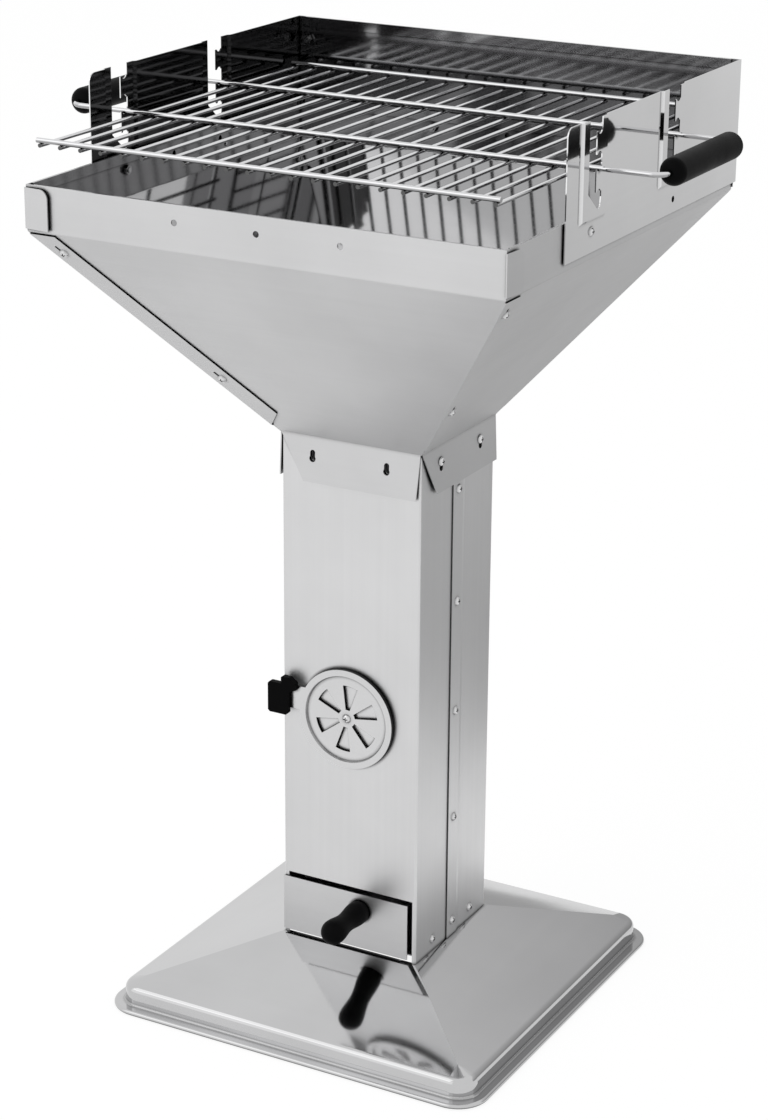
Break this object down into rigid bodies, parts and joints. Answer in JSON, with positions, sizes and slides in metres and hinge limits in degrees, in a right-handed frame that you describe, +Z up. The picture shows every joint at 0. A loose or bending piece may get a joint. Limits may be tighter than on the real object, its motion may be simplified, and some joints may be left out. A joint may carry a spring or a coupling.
{
  "type": "park barbecue pedestal",
  "caption": "Square pedestal barbecue of folded stainless sheet: funnel bowl, slotted wind shield, lift-out cooking grate, ash drawer and rotary air vent on a weather-proof foot.",
  "frame": {"origin": "on the ground, at the middle of the foot and column; the bounding box's middle is within 3 mm of it in Y", "axes": "+Z up, +X to the right along the front, +Y towards the back, so the vent, the drawer and the open side of the shield face -Y"},
  "size_m": [0.656, 0.5068, 0.95],
  "materials": {
    "foot_steel": "bright rolled stainless sheet, nearly mirror-like, pressed",
    "column_steel": "satin stainless sheet",
    "inner_steel": "plain stainless sheet",
    "drawer_front_steel": "satin stainless sheet",
    "vent_steel": "bright pressed stainless sheet",
    "funnel_steel": "satin stainless outside, bright inside",
    "shield_steel": "bright rolled stainless sheet",
    "fastener_steel": "stainless screws and nuts",
    "wire_chrome": "bright chromed wire",
    "charcoal_wire_chrome": "bright chromed wire",
    "grip_plastic": "black moulded plastic with a soft sheen",
    "tab_plastic": "black moulded plastic"
  },
  "bodies": {
    "stand": {"foot": "foot_steel", "column_front": "column_steel", "column_rear": "column_steel", "column_seam_screws": "fastener_steel", "column_seam_nuts": "fastener_steel", "base_screws": "fastener_steel", "base_nuts": "fastener_steel", "drawer_runner_left": "inner_steel", "drawer_runner_right": "inner_steel", "vent_washer": "fastener_steel", "vent_pivot": "fastener_steel", "vent_nut": "fastener_steel", "funnel_front": "funnel_steel", "funnel_right": "funnel_steel", "funnel_back": "funnel_steel", "funnel_left": "funnel_steel", "funnel_seam_screws": "fastener_steel", "funnel_seam_nuts": "fastener_steel", "collar_screws": "fastener_steel", "collar_nuts": "fastener_steel", "shield_left": "shield_steel", "shield_right": "shield_steel", "shield_back": "shield_steel", "shield_screws": "fastener_steel", "shield_nuts": "fastener_steel"},
    "drawer": {"drawer_tray": "inner_steel", "drawer_front": "drawer_front_steel", "drawer_knob": "grip_plastic", "knob_screw": "fastener_steel"},
    "vent": {"vent_disc": "vent_steel", "vent_tab": "tab_plastic"},
    "grate": {"grate_cross_wires": "wire_chrome", "grate_front_wire": "wire_chrome", "grate_rear_wire": "wire_chrome", "grate_bail": "wire_chrome"},
    "left_grip": {"grip_left": "grip_plastic"},
    "right_grip": {"grip_right": "grip_plastic"},
    "charcoal_grate": {"charcoal_bars": "charcoal_wire_chrome", "charcoal_carriers": "charcoal_wire_chrome"}
  },
  "joints": [
    {"name": "drawer_slide", "type": "slide", "parent": "stand", "child": "drawer", "axis": [0, -1, 0], "range_m": [0, 0.12]},
    {"name": "vent_turn", "type": "hinge", "parent": "stand", "child": "vent", "pos_m": [-0.0021, -0.078, 0.3196], "axis": [0, -1, 0], "range_deg": [0, 30]},
    {"name": "grate_lift", "type": "slide", "parent": "stand", "child": "grate", "axis": [0, -0.7071, 0.7071], "range_m": [0, 0.0125]},
    {"name": "left_grip_turn", "type": "hinge", "parent": "grate", "child": "left_grip", "pos_m": [-0.315, 0.008, 0.9043], "axis": [0, 1, 0], "continuous": true},
    {"name": "right_grip_turn", "type": "hinge", "parent": "grate", "child": "right_grip", "pos_m": [0.315, 0.008, 0.9043], "axis": [0, 1, 0], "continuous": true},
    {"name": "charcoal_lift", "type": "slide", "parent": "stand", "child": "charcoal_grate", "axis": [0, 0, 1], "range_m": [0, 0.12]}
  ]
}
